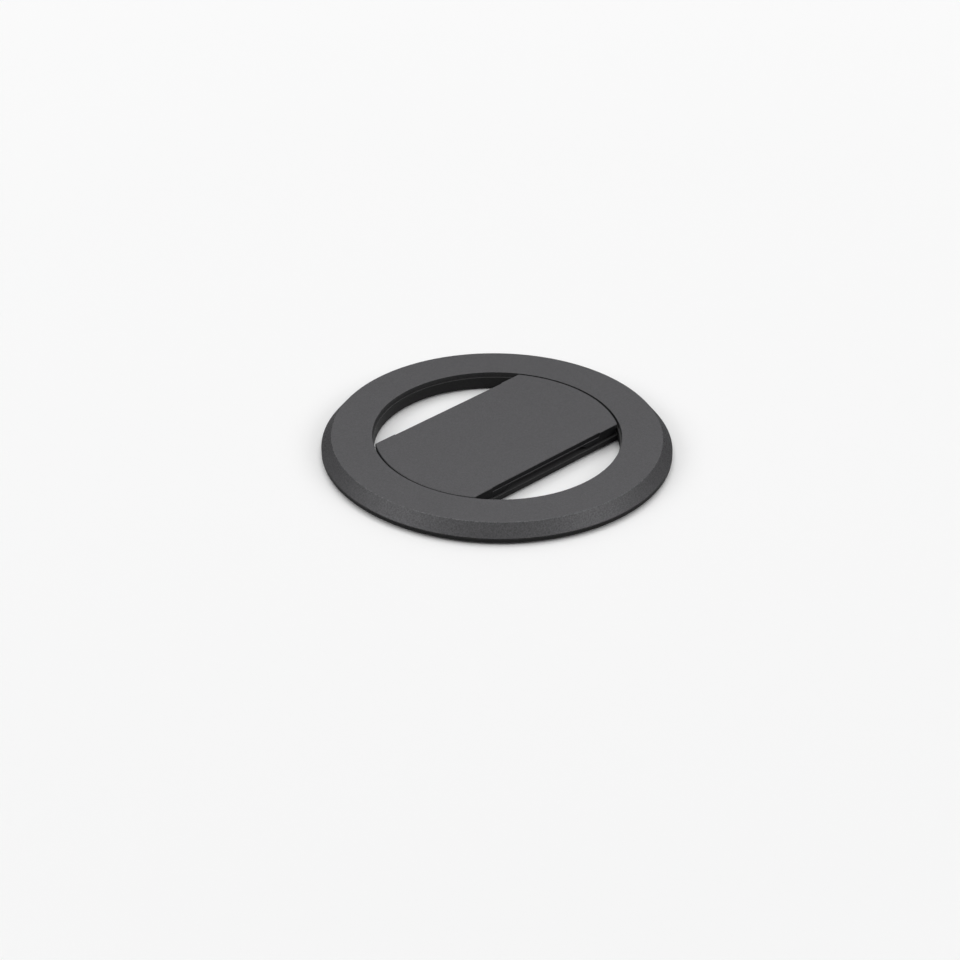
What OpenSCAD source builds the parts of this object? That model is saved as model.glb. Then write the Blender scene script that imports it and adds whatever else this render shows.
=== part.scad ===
// Phone ring holder: a flat magnetic ring with a lift-up grip bar across its opening.
// The origin is on the ring's axis, at the underside of the soft pad. X runs along the bar.

/* [Ring] */
// Outer diameter of the ring, at the foot of its chamfer
outer_d = 58.3; // [52:0.1:72]
// Diameter of the opening in the cover
hole_d = 41.4; // [34:0.1:50]
// Level width of the wide chamfer round the cover
chamfer_run = 1.65; // [0.8:0.05:2.6]
// Thickness of the cover's flat top
cover_t = 0.87; // [0.6:0.01:1.2]
// Wall of the cover's slanted skirt, measured level
skirt_wall = 1; // [0.7:0.05:1.4]
// Break on the sharp visible edges
edge_break = 0.12; // [0.05:0.01:0.2]
// Height of the blunt foot of the skirt
skirt_foot = 0.06; // [0.04:0.01:0.15]

/* [Housing] */
// Floor under the magnets
floor_t = 0.45; // [0.3:0.05:0.8]
// Height of the plain band round the housing
rim_h = 0.7; // [0.6:0.05:1]
// Height of the dark seam between band and cover
seam_h = 0.08; // [0.05:0.01:0.2]
// Depth of the seam
seam_d = 0.3; // [0.1:0.05:0.5]
// How far the collar stands inside the cover's opening
ledge_w = 0.25; // [0.1:0.05:0.4]
// Wall of the collar round the opening
collar_t = 0.85; // [0.6:0.05:1.2]
// Height of the rib that centres the cover, above the seam
spigot_h = 0.3; // [0.2:0.05:0.5]
// Wall of that rib
spigot_t = 0.6; // [0.4:0.05:0.8]

/* [Soft pad] */
// Thickness of the soft pad
pad_t = 0.25; // [0.2:0.05:0.8]
// Thickness of the tape that holds it
tape_t = 0.1; // [0.05:0.05:0.2]
// How far the pad stays inside the ring's outer edge
pad_inset = 1; // [0.5:0.1:2]

/* [Magnets] */
// Number of magnet segments
magnet_count = 18; // [12:1:24]
// Radial width of a magnet
magnet_w = 4; // [3:0.1:5]
// Thickness of a magnet
magnet_t = 1.1; // [0.8:0.1:1.6]
// Gap between neighbouring magnets
magnet_gap = 0.3; // [0.2:0.05:0.6]
// Thickness of the steel ring that backs the magnets
shunt_t = 0.4; // [0.3:0.05:0.6]
// Clearance round the magnets
magnet_clear = 0.15; // [0.1:0.05:0.3]
// Air between the steel ring and the cover
lid_air = 0.08; // [0.05:0.01:0.2]
// Gap between the centring rib and the top of the skirt
skirt_gap = 0.05; // [0.03:0.01:0.1]

/* [Grip bar] */
// Width of the grip bar
bar_w = 23.2; // [18:0.1:28]
// Gap between the ends of the bar and the cover
bar_gap = 0.3; // [0.2:0.05:0.5]
// Gap between the lower ends of the bar and the collar
bar_foot_gap = 0.3; // [0.2:0.05:0.5]
// Thickness of the bar's flat top
bar_plate_t = 0.87; // [0.6:0.01:1.2]
// Wall at the ends of the bar's hollow
bar_end_wall = 0.7; // [0.5:0.05:1]
// Share of the bar's length between its corners where the long sides step back
mid_share = 0.745; // [0.6:0.005:0.85]
// How far the upper long sides step back there
mid_step = 0.15; // [0.1:0.01:0.3]
// Gap under the bar in the middle stretch
mid_lift = 0.06; // [0.03:0.01:0.2]
// Gap under the ends of the bar
end_lift = 0.2; // [0.1:0.05:0.3]
// Length of the fingernail notch along its roof, as a share of the stepped stretch
notch_share = 0.656; // [0.4:0.002:0.75]
// How much longer the notch is at its mouth, on each side
notch_flare = 1.7; // [0.5:0.1:2.5]
// Metal left between the notch and the step above it
notch_roof = 0.18; // [0.1:0.02:0.4]
// Depth of the notch into the long side
notch_d = 2.2; // [1:0.1:2.6]

/* [Linkage] */
// Thickness of the crossbar under the grip bar
crossbar_t = 0.95; // [0.8:0.05:1.2]
// How far the crossbar stands out past the grip bar, on each side
crossbar_out = 0.3; // [0.1:0.05:0.6]
// Width left on each side of the two link plates, for lugs and rail
side_w = 4.6; // [4.4:0.1:5.6]
// Distance along X from the middle to the nearest pivots
pivot_in = 0.9; // [0.85:0.05:1.5]
// How far the far pivots stay inside the corners of the bar's hollow
pivot_edge = 0.84; // [0.8:0.01:1.4]
// Diameter of the hinge pins
pin_d = 0.8; // [0.6:0.05:0.9]
// Outer diameter of the knuckles
knuckle_d = 1.4; // [1.3:0.05:1.5]
// Running clearance between pin and knuckle
pin_clear = 0.03; // [0.02:0.01:0.06]
// Clearance where a pin is held fast
pin_fit = 0.01; // [0.005:0.005:0.02]
// Clearance at the sides, ends and faces of the links
link_clear = 0.1; // [0.08:0.01:0.15]
// Least metal of the grip bar above its knuckles
bar_skin = 0.35; // [0.25:0.05:0.6]
// Wall of the lugs beside the links
lug_t = 1.1; // [0.8:0.1:1.4]
// Clearance between the lugs and the bar's rails
lug_clear = 0.2; // [0.1:0.05:0.3]
// How far the link plates start from their lower pivot
heel = 0.42; // [0.35:0.01:0.5]

/* [Hidden] */
ROUND_FN = 96;
PIN_FN = 32;
THROUGH = 1;

outer_r = outer_d / 2;
hole_r = hole_d / 2;
top_r = outer_r - chamfer_run;
collar_r = hole_r - ledge_w;

// Heights: the taller of the two stacks sets the top, and the magnets' floor fills up the rest
magnet_stack = floor_t + magnet_t + shunt_t + lid_air + cover_t;
linkage_stack = crossbar_t + 2 * link_clear + knuckle_d + bar_skin;
housing_z = pad_t + tape_t;
top_z = housing_z + max(magnet_stack, linkage_stack);
cover_z = top_z - cover_t;
shunt_z = cover_z - lid_air - shunt_t;
magnet_z = shunt_z - magnet_t;
rim_z = housing_z + rim_h;
skirt_z = rim_z + seam_h;
crossbar_z = housing_z + crossbar_t;
plate_z = top_z - bar_plate_t;
mid_z = crossbar_z + mid_lift;
end_z = crossbar_z + end_lift;

// The skirt's inner face runs parallel to its outer one
skirt_in_foot = outer_r - skirt_wall;
skirt_in_top = skirt_in_foot - (cover_z - skirt_z) * chamfer_run / (top_z - skirt_z);
spigot_in_r = skirt_in_top - skirt_gap;
magnet_out_r = spigot_in_r - magnet_clear;
magnet_in_r = magnet_out_r - magnet_w;
spigot_out_r = spigot_in_r + spigot_t;
pad_out_r = outer_r - pad_inset;
pad_in_r = collar_r + pad_inset;

// Bar and linkage
bar_r = hole_r - bar_gap;
bar_foot_r = collar_r - bar_foot_gap;
hollow_r = bar_foot_r - bar_end_wall;
bar_corner = sqrt(pow(bar_r, 2) - pow(bar_w / 2, 2));
mid_len = 2 * bar_corner * mid_share;
notch_len = mid_len * notch_share;
pin_r = pin_d / 2;
knuckle_r = knuckle_d / 2;
base_pivot_z = housing_z + link_clear + knuckle_r;
bar_pivot_z = crossbar_z + link_clear + knuckle_r;
link_half = bar_w / 2 - side_w;
slot_half = link_half + link_clear;
lug_out = slot_half + lug_t;
hollow_half = lug_out + lug_clear;
bar_pin_half = hollow_half + lug_t;
pivot_out = sqrt(pow(hollow_r, 2) - pow(hollow_half, 2)) - pivot_edge;

function magnet_name(i) = str("magnet_", i < 10 ? "0" : "", i);

// A solid of revolution from a profile of [radius, height] points
module turned(profile) {
    rotate_extrude($fn = ROUND_FN) polygon(profile);
}

// A flat ring
module washer(inner, outer, z, t) {
    turned([[inner, z], [outer, z], [outer, z + t], [inner, z + t]]);
}

// A round bar along Y, centred on the XZ plane
module cross_rod(x, z, r, half, fn = PIN_FN) {
    translate([x, 0, z]) rotate([90, 0, 0]) cylinder(h = 2 * half, r = r, center = true, $fn = fn);
}

// A block from one pair of corners, centred on the XZ plane
module cross_block(x0, x1, z0, z1, half) {
    translate([x0, -half, z0]) cube([x1 - x0, 2 * half, z1 - z0]);
}

// Turned metal cover: flat top, wide chamfer, hollow underneath
module top_cover() {
    color("#5b5b5d") turned([
        [hole_r, cover_z],
        [skirt_in_top, cover_z],
        [skirt_in_foot, skirt_z],
        [outer_r, skirt_z],
        [outer_r, skirt_z + skirt_foot],
        [top_r, top_z],
        [hole_r + edge_break, top_z],
        [hole_r, top_z - edge_break]
    ]);
}

// Moulded ring: floor, band, centring rib and the collar that the cover rests on
module housing_ring() {
    turned([
        [collar_r, housing_z],
        [outer_r - edge_break, housing_z],
        [outer_r, housing_z + edge_break],
        [outer_r, rim_z],
        [outer_r - seam_d, rim_z],
        [outer_r - seam_d, skirt_z],
        [spigot_out_r, skirt_z],
        [spigot_out_r, skirt_z + spigot_h],
        [spigot_in_r, skirt_z + spigot_h],
        [spigot_in_r, magnet_z],
        [collar_r + collar_t, magnet_z],
        [collar_r + collar_t, cover_z],
        [collar_r, cover_z]
    ]);
}

// Flat bar across the opening, level with the housing's underside
module crossbar() {
    half = bar_w / 2 + crossbar_out;
    intersection() {
        cylinder(h = top_z, r = collar_r + collar_t / 2, $fn = ROUND_FN);
        cross_block(-hole_r, hole_r, housing_z, crossbar_z, half);
    }
}

// The pair of lugs that holds one lower pin
module base_lugs(x) {
    cross_rod(x, base_pivot_z, knuckle_r, lug_out);
    cross_block(x - knuckle_r, x + knuckle_r, housing_z, base_pivot_z, lug_out);
}

module base_housing() {
    color("#3a3a3c") difference() {
        union() {
            housing_ring();
            crossbar();
            for (x = [-pivot_out, pivot_in]) base_lugs(x);
        }
        for (x = [-pivot_out, pivot_in]) {
            slot = knuckle_r + link_clear;
            cross_block(x - slot, x + slot, housing_z - THROUGH, top_z, slot_half);
            cross_rod(x, base_pivot_z, pin_r + pin_fit, lug_out + THROUGH);
        }
    }
}

module soft_pad() {
    color("#151515") washer(pad_in_r, pad_out_r, 0, pad_t);
}

module pad_tape() {
    color("#202020") washer(pad_in_r + tape_t, pad_out_r - tape_t, pad_t, tape_t);
}

module shunt_ring() {
    color("#8c8f92") washer(magnet_in_r, magnet_out_r, shunt_z, shunt_t);
}

// One arc magnet; the first one starts on the +X axis
module magnet(i) {
    pitch = 360 / magnet_count;
    gap_angle = magnet_gap / magnet_in_r * 180 / PI;
    color("#b9bcc0") rotate([0, 0, (i - 1) * pitch + gap_angle / 2])
        rotate_extrude(angle = pitch - gap_angle, $fn = ROUND_FN)
            translate([magnet_in_r, magnet_z]) square([magnet_w, magnet_t]);
}

// Half outline of the bar across its width, [y, z], mirrored into a whole one
module bar_section(len, x, bottom, step) {
    side = bar_w / 2;
    half = [
        [side, bottom],
        [side, plate_z],
        [side - step, plate_z],
        [side - step, top_z - edge_break],
        [side - step - edge_break, top_z]
    ];
    other = [for (i = [len(half) - 1:-1:0]) [-half[i][0], half[i][1]]];
    translate([x, 0, 0]) rotate([90, 0, 90])
        linear_extrude(len, center = true) polygon(concat(half, other));
}

// Solid bar before it is hollowed, with rounded ends that follow the opening
module bar_blank() {
    end_len = hole_r - mid_len / 2;
    intersection() {
        turned([
            [0, crossbar_z],
            [bar_foot_r, crossbar_z],
            [bar_foot_r, cover_z],
            [bar_r, cover_z],
            [bar_r, top_z - edge_break],
            [bar_r - edge_break, top_z],
            [0, top_z]
        ]);
        union() {
            bar_section(mid_len, 0, mid_z, mid_step);
            for (s = [-1, 1]) bar_section(end_len, s * (mid_len + end_len) / 2, end_z, 0);
        }
    }
}

// Space under the bar's top for the two links and the lugs
module bar_hollow() {
    intersection() {
        cylinder(h = plate_z, r = hollow_r, $fn = ROUND_FN);
        cross_block(-hole_r, hole_r, 0, plate_z, hollow_half);
    }
    for (x = [-pivot_in, pivot_out]) cross_rod(x, bar_pivot_z, knuckle_r + link_clear, slot_half);
}

// Trapezoid cut in the near long side, wider at its mouth
module nail_notch() {
    roof = notch_len / 2;
    mouth = roof + notch_flare;
    roof_z = plate_z - notch_roof;
    translate([0, -bar_w / 2 + notch_d, 0]) rotate([90, 0, 0])
        linear_extrude(notch_d + THROUGH)
            polygon([[-mouth, mid_z], [mouth, mid_z], [roof, roof_z], [-roof, roof_z]]);
}

module grip_bar() {
    color("#5b5b5d") difference() {
        bar_blank();
        bar_hollow();
        nail_notch();
        for (x = [-pivot_in, pivot_out]) cross_rod(x, bar_pivot_z, pin_r + pin_fit, bar_pin_half);
    }
}

// Stamped link plate with a rolled knuckle at each end; x is its lower pivot
module link(x) {
    span = pivot_out - pivot_in;
    color("#7b7e82") difference() {
        union() {
            cross_block(x + heel, x + span, crossbar_z + link_clear, plate_z - link_clear, link_half);
            cross_rod(x, base_pivot_z, knuckle_r, link_half);
            cross_rod(x + span, bar_pivot_z, knuckle_r, link_half);
        }
        cross_rod(x, base_pivot_z, pin_r + pin_clear, link_half + THROUGH);
        cross_rod(x + span, bar_pivot_z, pin_r + pin_clear, link_half + THROUGH);
    }
}

module link_left() {
    link(-pivot_out);
}

module link_right() {
    link(pivot_in);
}

module pin(x, z, half) {
    color("#c4c6c8") cross_rod(x, z, pin_r, half);
}

module base_pin_left() {
    pin(-pivot_out, base_pivot_z, lug_out);
}

module base_pin_right() {
    pin(pivot_in, base_pivot_z, lug_out);
}

module bar_pin_left() {
    pin(-pivot_in, bar_pivot_z, bar_pin_half);
}

module bar_pin_right() {
    pin(pivot_out, bar_pivot_z, bar_pin_half);
}

top_cover();
base_housing();
soft_pad();
pad_tape();
shunt_ring();
for (i = [1:magnet_count]) magnet(i);
grip_bar();
link_left();
link_right();
base_pin_left();
base_pin_right();
bar_pin_left();
bar_pin_right();
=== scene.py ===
"""Finish, light and camera for the magnetic ring holder; lengths in metres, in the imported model's frame."""
import math

import bmesh
import bpy
import numpy as np
from mathutils import Matrix, Vector


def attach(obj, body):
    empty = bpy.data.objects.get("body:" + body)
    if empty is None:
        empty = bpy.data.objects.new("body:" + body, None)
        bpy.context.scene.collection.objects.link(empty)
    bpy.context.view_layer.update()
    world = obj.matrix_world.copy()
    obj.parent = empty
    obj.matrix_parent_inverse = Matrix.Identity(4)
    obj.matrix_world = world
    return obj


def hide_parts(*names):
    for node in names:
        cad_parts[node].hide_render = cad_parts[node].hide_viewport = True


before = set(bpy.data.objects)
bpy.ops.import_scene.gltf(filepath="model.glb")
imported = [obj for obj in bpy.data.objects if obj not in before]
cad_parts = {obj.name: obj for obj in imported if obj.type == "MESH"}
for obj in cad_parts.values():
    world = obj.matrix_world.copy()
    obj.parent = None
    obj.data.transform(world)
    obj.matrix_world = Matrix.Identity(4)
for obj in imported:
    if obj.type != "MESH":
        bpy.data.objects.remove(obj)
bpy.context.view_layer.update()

MM = 0.001

# The photograph's camera, found by fitting straight and round outlines of known size
CAMERA_TARGET = Vector((-8.70, -4.81, 0.0)) * MM
CAMERA_AZIMUTH = math.radians(-134.994)
CAMERA_ELEVATION = math.radians(31.536)
CAMERA_ROLL = math.radians(0.641)
CAMERA_DISTANCE = 449.68 * MM
FOCAL_PIXELS = 2751.04
IMAGE_PIXELS = 960
SENSOR_MM = 36.0
NEAREST_SEEN, FARTHEST_SEEN = 0.01, 20.0

# The metal cover has a flat top, a wide chamfer and a skirt that is hollow underneath; millimetres
OUTER_RADIUS = 29.15
OPENING_RADIUS = 20.70
TOP_HEIGHT = 3.25
COVER_THICKNESS = 0.87
CHAMFER_RUN = 1.65
SKIRT_WALL = 1.0
SKIRT_HEIGHT = 1.13
SKIRT_INNER_TOP = 27.18
BLUNT_FOOT = 0.06
TOP_RADIUS = OUTER_RADIUS - CHAMFER_RUN
UNDERSIDE_HEIGHT = TOP_HEIGHT - COVER_THICKNESS
SKIRT_INNER_FOOT = OUTER_RADIUS - SKIRT_WALL

# The soft pad keeps the same distance from the ring's rim and from the collar round the opening; millimetres
COLLAR_RADIUS = 20.45
PAD_INSET = 1.0
PAD_HEIGHT = 0.25
PAD_INNER_RADIUS = COLLAR_RADIUS + PAD_INSET
PAD_OUTER_RADIUS = OUTER_RADIUS - PAD_INSET

# Corners of the two cross-sections as (radius, height, rounding), in the order that turns faces outwards
COVER_CORNERS = (
    (OPENING_RADIUS, UNDERSIDE_HEIGHT, 0.03),
    (SKIRT_INNER_TOP, UNDERSIDE_HEIGHT, 0.10),
    (SKIRT_INNER_FOOT, SKIRT_HEIGHT, 0.03),
    (OUTER_RADIUS, SKIRT_HEIGHT, 0.02),
    (OUTER_RADIUS, SKIRT_HEIGHT + BLUNT_FOOT, 0.02),
    (TOP_RADIUS, TOP_HEIGHT, 0.16),
    (OPENING_RADIUS, TOP_HEIGHT, 0.05),
)
PAD_CORNERS = (
    (PAD_INNER_RADIUS, 0.0, 0.05),
    (PAD_OUTER_RADIUS, 0.0, 0.05),
    (PAD_OUTER_RADIUS, PAD_HEIGHT, 0.03),
    (PAD_INNER_RADIUS, PAD_HEIGHT, 0.03),
)

# Points round the axis and on a rounded corner, and the guard point's distance in millimetres
TURNS = 288
ARC_POINTS = 6
GUARD = 0.03

# Corners rounded by more than this, in millimetres, get a painted highlight: a lighter colour along the edge
HIGHLIGHT_ROUNDING = 0.08

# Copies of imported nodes: how near points are joined, how flat faces are joined, how sharp an edge is eased
MERGE_MM = 0.0005
LEVEL_ANGLE = math.radians(0.2)
SHARP_ANGLE = math.radians(24)
EASED_BAR_MM = 0.035
EASED_HOUSING_MM = 0.03
EASED_SEGMENTS = 3
FULL_WEIGHT = 100

# Between the first and the second radius, in millimetres, walls of metal go from the bar's deeper painted shade
# to the opening's lighter painted shade
BORE_STARTS, BORE_FULL = 19.8, 20.2

# How far softened normals turn from the face's own, as a cosine: where the painted edge highlight starts and
# where it is full
HIGHLIGHT_STARTS, HIGHLIGHT_FULL = 0.99, 0.86
EDGE_SAMPLES = 4

# The floor lies just under the pad and turns up far from the ring; millimetres
FLOOR_GAP = 0.01
FLAT_RADII = (0.0, 100.0, 300.0, 600.0, 1000.0)
ARC_RADIUS = 1400.0
ARC_TURN = math.radians(42)
ARC_STEPS = 24

# From the first to the second distance, in metres, the floor's paint gives way to its glow
GLOW_STARTS, GLOW_FULL = 0.12, 0.4
FLOOR_WHITE = 0.93
FLOOR_GLOW = 0.86
FLOOR_UNSEEN = (0.12, 0.12, 0.12)
WHITE = (1.0, 1.0, 1.0)

# Air of the studio: its strength below one height on the unit sphere and above another
AIR_LOW, AIR_HIGH = 0.2, 0.52
AIR_DIM, AIR_BRIGHT = 0.02, 0.64

# Softboxes on a sphere round the ring: name, azimuth from +X towards +Y, elevation, side in metres, and power
# in watts
SOFTBOX_DISTANCE = 1.0
SOFTBOXES = (
    ("top_box", 45, 62, 0.8, 3.2),
    ("left_box", 155, 33, 0.4, 2.05),
    ("right_box", -65, 33, 0.4, 1.9),
)


def mesh_object(name, points, quads):
    """A smooth mesh of quads from arrays of points in millimetres and corner numbers."""
    mesh = bpy.data.meshes.new(name)
    mesh.vertices.add(len(points))
    mesh.vertices.foreach_set("co", (points * MM).astype(np.float32).ravel())
    mesh.loops.add(quads.size)
    mesh.loops.foreach_set("vertex_index", quads.astype(np.int32).ravel())
    mesh.polygons.add(len(quads))
    mesh.polygons.foreach_set("loop_start", np.arange(0, quads.size, 4, dtype=np.int32))
    mesh.update(calc_edges=True)
    mesh.shade_smooth()
    mesh.validate()
    return in_scene(name, mesh)


def in_scene(name, data):
    """An object for a mesh, lamp or camera, put into the scene."""
    thing = bpy.data.objects.new(name, data)
    bpy.context.scene.collection.objects.link(thing)
    return thing


def rounded_profile(corners):
    """A closed outline whose corners are arcs, and for each of its points 1 on the arc of a corner that gets a
    painted highlight, else 0.

    An arc's centre lies on the line that halves its corner's angle, at rounding / sin(half angle). Its points
    are the centre plus the spokes to its start and end, times sin((1 - share) sweep) / sin(sweep) and
    sin(share sweep) / sin(sweep). A guard point just past each end keeps the flats flat in shading.
    """
    corner = np.array([c[:2] for c in corners])
    rounding = np.array([c[2] for c in corners])[:, None]
    before = np.roll(corner, 1, axis=0) - corner
    after = np.roll(corner, -1, axis=0) - corner
    before /= np.linalg.norm(before, axis=1, keepdims=True)
    after /= np.linalg.norm(after, axis=1, keepdims=True)
    half = np.arccos(np.clip((before * after).sum(1), -1, 1))[:, None] / 2
    middle = before + after
    middle /= np.linalg.norm(middle, axis=1, keepdims=True)
    centre = corner + middle * rounding / np.sin(half)
    start = corner + before * rounding / np.tan(half)
    end = corner + after * rounding / np.tan(half)
    share = np.linspace(0, 1, ARC_POINTS)[None, :, None]
    sweep = (math.pi - 2 * half)[:, :, None]
    first_spoke, last_spoke = (start - centre)[:, None], (end - centre)[:, None]
    spokes = np.sin((1 - share) * sweep) * first_spoke + np.sin(share * sweep) * last_spoke
    arc = centre[:, None] + spokes / np.sin(sweep)
    first_guard, last_guard = (start + before * GUARD)[:, None], (end + after * GUARD)[:, None]
    outline = np.concatenate([first_guard, arc, last_guard], 1)
    # Arc points of corners with a larger rounding are marked for the painted edge highlight
    unhighlighted = np.zeros((len(corner), 1))
    highlighted = np.concatenate([unhighlighted, np.repeat(rounding > HIGHLIGHT_ROUNDING, ARC_POINTS, 1), unhighlighted], 1)
    return outline.reshape(-1, 2), highlighted.ravel()


def turned_surface(name, outline, closed):
    """The outline carried round the vertical axis: (r, z) at angle a goes to (r cos a, r sin a, z)."""
    angle = np.linspace(0, 2 * math.pi, TURNS, endpoint=False)
    radius, height = outline[:, :1], outline[:, 1:]
    places = np.broadcast_arrays(radius * np.cos(angle), radius * np.sin(angle), height)
    number = np.arange(len(outline) * TURNS).reshape(-1, TURNS)
    beside = np.roll(number, -1, 1)
    quads = np.stack([number, beside, np.roll(beside, -1, 0), np.roll(number, -1, 0)], -1)
    if not closed:
        quads = quads[:-1]
    return mesh_object(name, np.stack(places, -1).reshape(-1, 3), quads.reshape(-1, 4))


def turned_piece(name, corners):
    """A turned piece from its cross-section's corners, with the corners that get a painted highlight kept as an
    attribute.
    """
    outline, highlighted = rounded_profile(corners)
    piece = turned_surface(name, outline, closed=True)
    # This attribute carries where the metal's painted edge highlight goes
    edge = piece.data.attributes.new("painted_highlight_edge", "FLOAT", "POINT")
    edge.data.foreach_set("value", np.repeat(highlighted, TURNS).astype(np.float32))
    return piece


def eased_copy(node_name, name, width_mm):
    """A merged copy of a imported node, its flat faces joined and its sharp edges rounded by width_mm."""
    shape = bmesh.new()
    shape.from_mesh(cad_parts[node_name].data)
    bmesh.ops.remove_doubles(shape, verts=shape.verts, dist=MERGE_MM * MM)
    bmesh.ops.dissolve_limit(shape, angle_limit=LEVEL_ANGLE, verts=shape.verts, edges=shape.edges)
    mesh = bpy.data.meshes.new(name)
    shape.to_mesh(mesh)
    shape.free()
    mesh.shade_smooth()
    piece = in_scene(name, mesh)
    bevel = piece.modifiers.new("eased_edges", "BEVEL")
    bevel.width = width_mm * MM
    bevel.segments = EASED_SEGMENTS
    bevel.limit_method = "ANGLE"
    bevel.angle_limit = SHARP_ANGLE
    bevel.use_clamp_overlap = False
    level = piece.modifiers.new("level_faces", "WEIGHTED_NORMAL")
    level.mode = "FACE_AREA"
    level.weight = FULL_WEIGHT
    return piece


def set_range(node, low, high, to_low, to_high):
    """Makes a Map Range node carry low..high over to to_low..to_high."""
    for socket, number in zip(("From Min", "From Max", "To Min", "To Max"), (low, high, to_low, to_high)):
        node.inputs[socket].default_value = number


class Nodes:
    """A material's node tree, with short calls to add and join nodes."""

    def __init__(self, name):
        self.material = bpy.data.materials.new(name)
        self.material.use_nodes = True
        self.tree = self.material.node_tree
        self.tree.nodes.clear()
        self.shader = self.add("ShaderNodeBsdfPrincipled")
        self.join(self.shader.outputs["BSDF"], self.add("ShaderNodeOutputMaterial").inputs["Surface"])
        self.place = self.add("ShaderNodeTexCoord").outputs["Object"]

    def add(self, kind, **settings):
        """A new node of this kind with its settings."""
        node = self.tree.nodes.new(kind)
        for key, value in settings.items():
            setattr(node, key, value)
        return node

    def join(self, source, target):
        """Links one node's result to another node's socket."""
        self.tree.links.new(source, target)

    def drive(self, **sources):
        """Joins results to the shader's own sockets; a name's underscores stand for spaces."""
        for key, source in sources.items():
            self.join(source, self.shader.inputs[key.replace("_", " ")])

    def set(self, **values):
        """Sets the shader's own sockets; a name's underscores stand for spaces."""
        for key, value in values.items():
            self.shader.inputs[key.replace("_", " ")].default_value = value

    def stretched_place(self, factors):
        """Object coordinates times one factor for each axis."""
        mapping = self.add("ShaderNodeMapping")
        mapping.inputs["Scale"].default_value = factors
        self.join(self.place, mapping.inputs["Vector"])
        return mapping.outputs["Vector"]

    def noise(self, grain_mm, detail=2.0, roughness=0.5, stretch=(1.0, 1.0, 1.0)):
        """Noise whose grains are about grain_mm across, and longer along an axis with a small factor."""
        node = self.add("ShaderNodeTexNoise")
        node.inputs["Scale"].default_value = 1.0 / (grain_mm * MM)
        node.inputs["Detail"].default_value = detail
        node.inputs["Roughness"].default_value = roughness
        self.join(self.stretched_place(stretch), node.inputs["Vector"])
        return node.outputs["Fac"]

    def spread(self, value, low, high, to_low=0.0, to_high=1.0):
        """Carries value from low..high over to to_low..to_high."""
        node = self.add("ShaderNodeMapRange")
        set_range(node, low, high, to_low, to_high)
        self.join(value, node.inputs["Value"])
        return node.outputs["Result"]

    def blend(self, share, colour_a, colour_b):
        """Colour a where share is 0 and colour b where it is 1."""
        node = self.add("ShaderNodeMix", data_type="RGBA")
        node.inputs["A"].default_value = (*colour_a, 1.0)
        node.inputs["B"].default_value = (*colour_b, 1.0)
        self.join(share, node.inputs["Factor"])
        return node.outputs["Result"]

    def mottled(self, share, colour, least, most):
        """The colour times least where share is 0, and times most where it is 1."""
        darkest, lightest = (tuple(channel * factor for channel in colour) for factor in (least, most))
        return self.blend(share, darkest, lightest)

    def mix(self, share, result_a, result_b):
        """Result a where share is 0 and result b where it is 1."""
        node = self.add("ShaderNodeMix", data_type="RGBA")
        for socket, source in (("Factor", share), ("A", result_a), ("B", result_b)):
            self.join(source, node.inputs[socket])
        return node.outputs["Result"]

    def combined(self, operation, value_a, value_b):
        """Two values put together by one operation of a Math node."""
        node = self.add("ShaderNodeMath", operation=operation)
        self.join(value_a, node.inputs[0])
        self.join(value_b, node.inputs[1])
        return node.outputs["Value"]

    def length(self, vector):
        """A vector's length."""
        node = self.add("ShaderNodeVectorMath", operation="LENGTH")
        self.join(vector, node.inputs[0])
        return node.outputs["Value"]

    def height_of_normal(self):
        """How far the surface's normal leans up or down: 0 on an upright wall, 1 on a level face."""
        parts = self.add("ShaderNodeSeparateXYZ")
        self.join(self.add("ShaderNodeNewGeometry").outputs["Normal"], parts.inputs["Vector"])
        size = self.add("ShaderNodeMath", operation="ABSOLUTE")
        self.join(parts.outputs["Z"], size.inputs[0])
        return size.outputs["Value"]

    def soft_edges(self, radius_mm):
        """Normals that turn over sharp edges as if these were rounded to radius_mm."""
        node = self.add("ShaderNodeBevel", samples=EDGE_SAMPLES)
        node.inputs["Radius"].default_value = radius_mm * MM
        return node.outputs["Normal"]

    def edge_highlight_mask(self, reach_mm):
        """Mask for a painted edge highlight: up to 1 within reach_mm of a sharp edge and 0 on a face, by how
        far softened normals turn.
        """
        turn = self.add("ShaderNodeVectorMath", operation="DOT_PRODUCT")
        self.join(self.soft_edges(reach_mm), turn.inputs[0])
        self.join(self.add("ShaderNodeNewGeometry").outputs["True Normal"], turn.inputs[1])
        return self.spread(turn.outputs["Value"], HIGHLIGHT_STARTS, HIGHLIGHT_FULL)

    def bump(self, height, depth_mm, under=None):
        """A bump of depth_mm, laid over an earlier one."""
        node = self.add("ShaderNodeBump")
        node.inputs["Distance"].default_value = depth_mm * MM
        self.join(height, node.inputs["Height"])
        if under is not None:
            self.join(under, node.inputs["Normal"])
        return node.outputs["Normal"]


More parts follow.
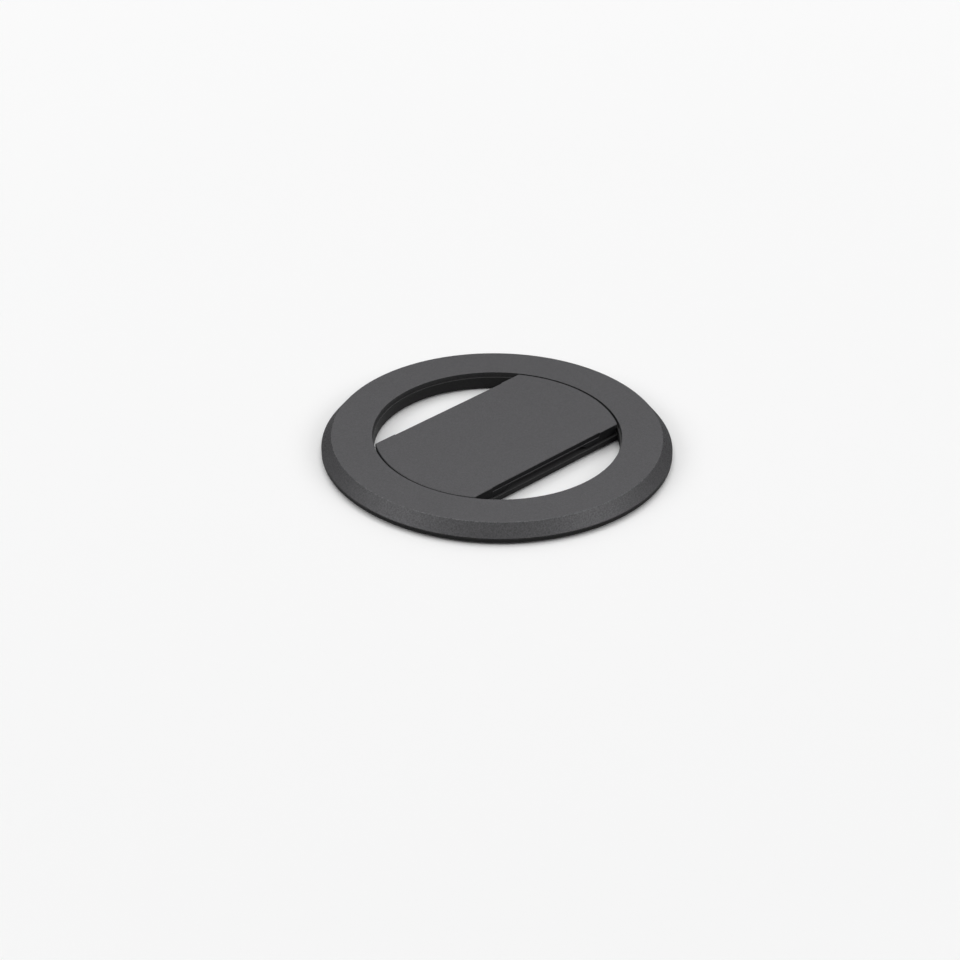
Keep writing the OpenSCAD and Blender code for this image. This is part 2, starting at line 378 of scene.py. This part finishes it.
def blasted_metal():
    """Aluminium blasted with fine beads and dyed dark grey.

    Upright walls get painted shade, a darker colour, but less of it at the opening and the bar's ends.
    The slope shows its grain more than level faces do, and the edges get a painted highlight, a lighter colour.
    """
    m = Nodes("blasted_metal")
    # The two darker colours are painted shade for upright walls, the lightest one a painted highlight along
    # edges
    flat, wall = (0.110, 0.109, 0.113), (0.020, 0.020, 0.021)
    bore, painted_highlight_colour = (0.052, 0.052, 0.053), (0.125, 0.125, 0.129)
    pits = m.noise(0.13, detail=2.0, roughness=0.6)
    glints = m.noise(0.24, detail=3.0, roughness=0.7)
    cloud = m.noise(11.0, detail=2.0)
    speckle = m.spread(glints, 0.34, 0.66)
    height = m.height_of_normal()
    facing = m.spread(height, 0.2, 0.5)
    from_axis = m.length(m.stretched_place((1.0, 1.0, 0.0)))
    round_opening = m.spread(from_axis, BORE_STARTS * MM, BORE_FULL * MM)
    # Painted shade: upright walls take a darker colour, less dark at the opening
    painted_wall_shade = m.mix(round_opening, m.mottled(speckle, wall, 0.8, 1.2), m.mottled(speckle, bore, 0.8, 1.2))
    level = m.mottled(speckle, flat, 0.925, 1.15)
    slope = m.mottled(speckle, flat, 0.74, 1.17)
    light = m.mix(m.spread(height, 0.8, 0.97), slope, level)
    # Painted highlight: a lighter colour along rounded and sharp edges
    turned_highlight = m.add("ShaderNodeAttribute", attribute_name="painted_highlight_edge").outputs["Fac"]
    edges = m.combined("MAXIMUM", turned_highlight, m.edge_highlight_mask(0.05))
    grain = m.bump(glints, 0.025, under=m.soft_edges(0.05))
    m.drive(
        Base_Color=m.mix(edges, m.mix(facing, painted_wall_shade, light), m.mottled(speckle, painted_highlight_colour, 0.6, 1.4)),
        Roughness=m.spread(cloud, 0.3, 0.7, 0.48, 0.51),
        Metallic=m.spread(facing, 0.0, 1.0, 0.1, 0.72),
        Normal=m.bump(pits, 0.03, under=grain),
    )
    m.set(Specular_IOR_Level=0.06, Specular_Tint=(0.22, 0.22, 0.22, 1.0))
    return m.material


def moulded_housing():
    """Dark moulded plastic with a fine spark texture; its walls get painted shade, a darker colour, and its
    edges a painted highlight, a lighter colour.
    """
    m = Nodes("moulded_housing")
    # The wall colour is painted shade, the lightest colour a painted highlight along edges
    flat, wall, painted_highlight_colour = (0.05, 0.05, 0.0505), (0.034, 0.034, 0.0345), (0.12, 0.12, 0.121)
    grain = m.noise(0.2, detail=2.0)
    speckle = m.spread(grain, 0.3, 0.7)
    facing = m.spread(m.height_of_normal(), 0.2, 0.6)
    painted_wall_shade, light, highlighted = (m.mottled(speckle, colour, 0.85, 1.15) for colour in (wall, flat, painted_highlight_colour))
    m.drive(
        Base_Color=m.mix(m.edge_highlight_mask(0.09), m.mix(facing, painted_wall_shade, light), highlighted),
        Roughness=m.spread(grain, 0.3, 0.7, 0.44, 0.58),
        Specular_IOR_Level=m.spread(facing, 0.0, 1.0, 0.05, 0.2),
        Normal=m.bump(grain, 0.01, under=m.soft_edges(0.06)),
    )
    return m.material


def soft_black():
    """Matt black pad with a faint uneven skin."""
    m = Nodes("soft_black")
    skin = m.noise(0.5, detail=4.0)
    m.drive(
        Base_Color=m.mottled(skin, (0.012, 0.012, 0.013), 0.8, 1.2),
        Roughness=m.spread(skin, 0.3, 0.7, 0.55, 0.75),
        Normal=m.bump(skin, 0.01),
    )
    return m.material


def drawn_steel(name, colour, roughness, stretch):
    """Steel with fine lines left by rolling or drawing, along the axis with the small stretch."""
    m = Nodes(name)
    lines = m.noise(0.08, detail=2.0, stretch=stretch)
    patches = m.noise(4.0, detail=3.0)
    m.drive(
        Base_Color=m.mottled(m.spread(lines, 0.3, 0.7), colour, 0.85, 1.1),
        Roughness=m.spread(patches, 0.3, 0.7, roughness - 0.06, roughness + 0.06),
        Normal=m.bump(lines, 0.003),
    )
    m.set(Metallic=1.0)
    return m.material


def dress(piece, material):
    """Gives a piece one material."""
    piece.data.materials.clear()
    piece.data.materials.append(material)


def build_pieces():
    """The shown pieces: two turned, two copies with eased edges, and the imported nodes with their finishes."""
    metal = blasted_metal()
    housing = moulded_housing()
    pad = soft_black()
    plating = drawn_steel("magnet_plating", (0.55, 0.55, 0.53), 0.28, (1.0, 1.0, 1.0))
    sheet = drawn_steel("rolled_sheet", (0.42, 0.43, 0.44), 0.34, (0.04, 1.0, 1.0))
    links = drawn_steel("blackened_sheet", (0.16, 0.16, 0.165), 0.36, (1.0, 0.04, 1.0))
    wire = drawn_steel("ground_wire", (0.5, 0.5, 0.51), 0.22, (1.0, 0.03, 1.0))
    finish = {name: plating if name.startswith("magnet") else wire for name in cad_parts}
    finish.update(top_cover=metal, grip_bar=metal, base_housing=housing, soft_pad=pad, pad_tape=pad,
                  shunt_ring=sheet, link_left=links, link_right=links)
    for name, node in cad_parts.items():
        dress(node, finish[name])
    shown = (
        (turned_piece("turned_cover", COVER_CORNERS), "top_cover", "ring", "blasted_metal"),
        (turned_piece("moulded_pad", PAD_CORNERS), "soft_pad", "ring", "soft_pad"),
        (eased_copy("grip_bar", "eased_grip_bar", EASED_BAR_MM), "grip_bar", "bar", "blasted_metal"),
        (eased_copy("base_housing", "eased_housing", EASED_HOUSING_MM), "base_housing", "ring", "housing"),
    )
    for piece, node_name, body, slot in shown:
        dress(piece, finish[node_name])
        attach(piece, body)
        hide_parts(node_name)


def direction(azimuth, elevation):
    """The unit vector that points to an azimuth, counted from +X towards +Y, and an elevation; radians."""
    return Vector((math.cos(elevation) * math.cos(azimuth),
                   math.cos(elevation) * math.sin(azimuth),
                   math.sin(elevation)))


def add_camera():
    """Camera at the photograph's place, turned about its own axis by the photograph's small roll."""
    back = direction(CAMERA_AZIMUTH, CAMERA_ELEVATION)
    right = Vector((0.0, 0.0, 1.0)).cross(back).normalized()
    up = back.cross(right)
    rolled_right = math.cos(CAMERA_ROLL) * right + math.sin(CAMERA_ROLL) * up
    rolled_up = math.cos(CAMERA_ROLL) * up - math.sin(CAMERA_ROLL) * right
    data = bpy.data.cameras.new("camera")
    data.sensor_width = SENSOR_MM
    data.lens = FOCAL_PIXELS / IMAGE_PIXELS * SENSOR_MM
    data.clip_start = NEAREST_SEEN
    data.clip_end = FARTHEST_SEEN
    camera = in_scene("camera", data)
    turn = Matrix((rolled_right, rolled_up, back)).transposed()
    camera.matrix_world = Matrix.Translation(CAMERA_TARGET + back * CAMERA_DISTANCE) @ turn.to_4x4()
    bpy.context.scene.camera = camera


def add_softbox(name, azimuth, elevation, side, power):
    """A square area lamp that faces the ring."""
    data = bpy.data.lights.new(name, "AREA")
    data.shape = "SQUARE"
    data.size = side
    data.energy = power
    lamp = in_scene(name, data)
    lamp.location = SOFTBOX_DISTANCE * direction(math.radians(azimuth), math.radians(elevation))
    lamp.rotation_euler = (-lamp.location).to_track_quat("-Z", "Y").to_euler()


def floor_profile():
    """The floor's half section from its rim to the axis: level, and outside the level part an arc.

    At turn t the arc's point has radius level radius + arc radius sin t, and height arc radius (1 - cos t).
    """
    level = np.stack([np.array(FLAT_RADII), np.zeros(len(FLAT_RADII))], 1)
    turn = np.linspace(0, ARC_TURN, ARC_STEPS + 1)[1:]
    arc = np.stack([FLAT_RADII[-1] + ARC_RADIUS * np.sin(turn), ARC_RADIUS * (1 - np.cos(turn))], 1)
    return (np.concatenate([level, arc]) - (0.0, FLOOR_GAP))[::-1]


def pale_floor():
    """Near white to the eye and in reflections, and darker for the light that the floor throws back.

    Near the ring it is plain paint that takes the shadow; farther out it glows by as much as it is white.
    """
    m = Nodes("floor")
    path = m.add("ShaderNodeLightPath")
    seen = path.outputs["Is Camera Ray"]
    for ray in ("Is Glossy Ray", "Is Transmission Ray"):
        seen = m.combined("MAXIMUM", seen, path.outputs[ray])
    far = m.spread(m.length(m.place), GLOW_STARTS, GLOW_FULL)
    paint = m.combined("MULTIPLY", m.spread(far, 0.0, 1.0, FLOOR_WHITE, 0.0), seen)
    glow = m.combined("MULTIPLY", m.spread(far, 0.0, 1.0, 0.0, FLOOR_GLOW), seen)
    m.drive(Base_Color=m.blend(paint, FLOOR_UNSEEN, WHITE), Emission_Strength=glow)
    m.set(Roughness=0.9, Specular_IOR_Level=0.0, Emission_Color=(*WHITE, 1.0))
    return m.material


def add_floor():
    """The floor that the ring stands on for its picture, turned from its half section."""
    floor = turned_surface("floor", floor_profile(), closed=False)
    dress(floor, pale_floor())


def add_world():
    """Studio air: dim near the horizon and brighter overhead."""
    world = bpy.data.worlds.new("studio")
    bpy.context.scene.world = world
    world.use_nodes = True
    tree = world.node_tree
    background = tree.nodes["Background"]
    background.inputs["Color"].default_value = (*WHITE, 1.0)
    towards = tree.nodes.new("ShaderNodeTexCoord")
    parts = tree.nodes.new("ShaderNodeSeparateXYZ")
    fade = tree.nodes.new("ShaderNodeMapRange")
    set_range(fade, AIR_LOW, AIR_HIGH, AIR_DIM, AIR_BRIGHT)
    tree.links.new(towards.outputs["Generated"], parts.inputs["Vector"])
    tree.links.new(parts.outputs["Z"], fade.inputs["Value"])
    tree.links.new(fade.outputs["Result"], background.inputs["Strength"])


build_pieces()
add_floor()
add_world()
add_camera()
for softbox in SOFTBOXES:
    add_softbox(*softbox)
bpy.context.scene.view_settings.view_transform = "Standard"
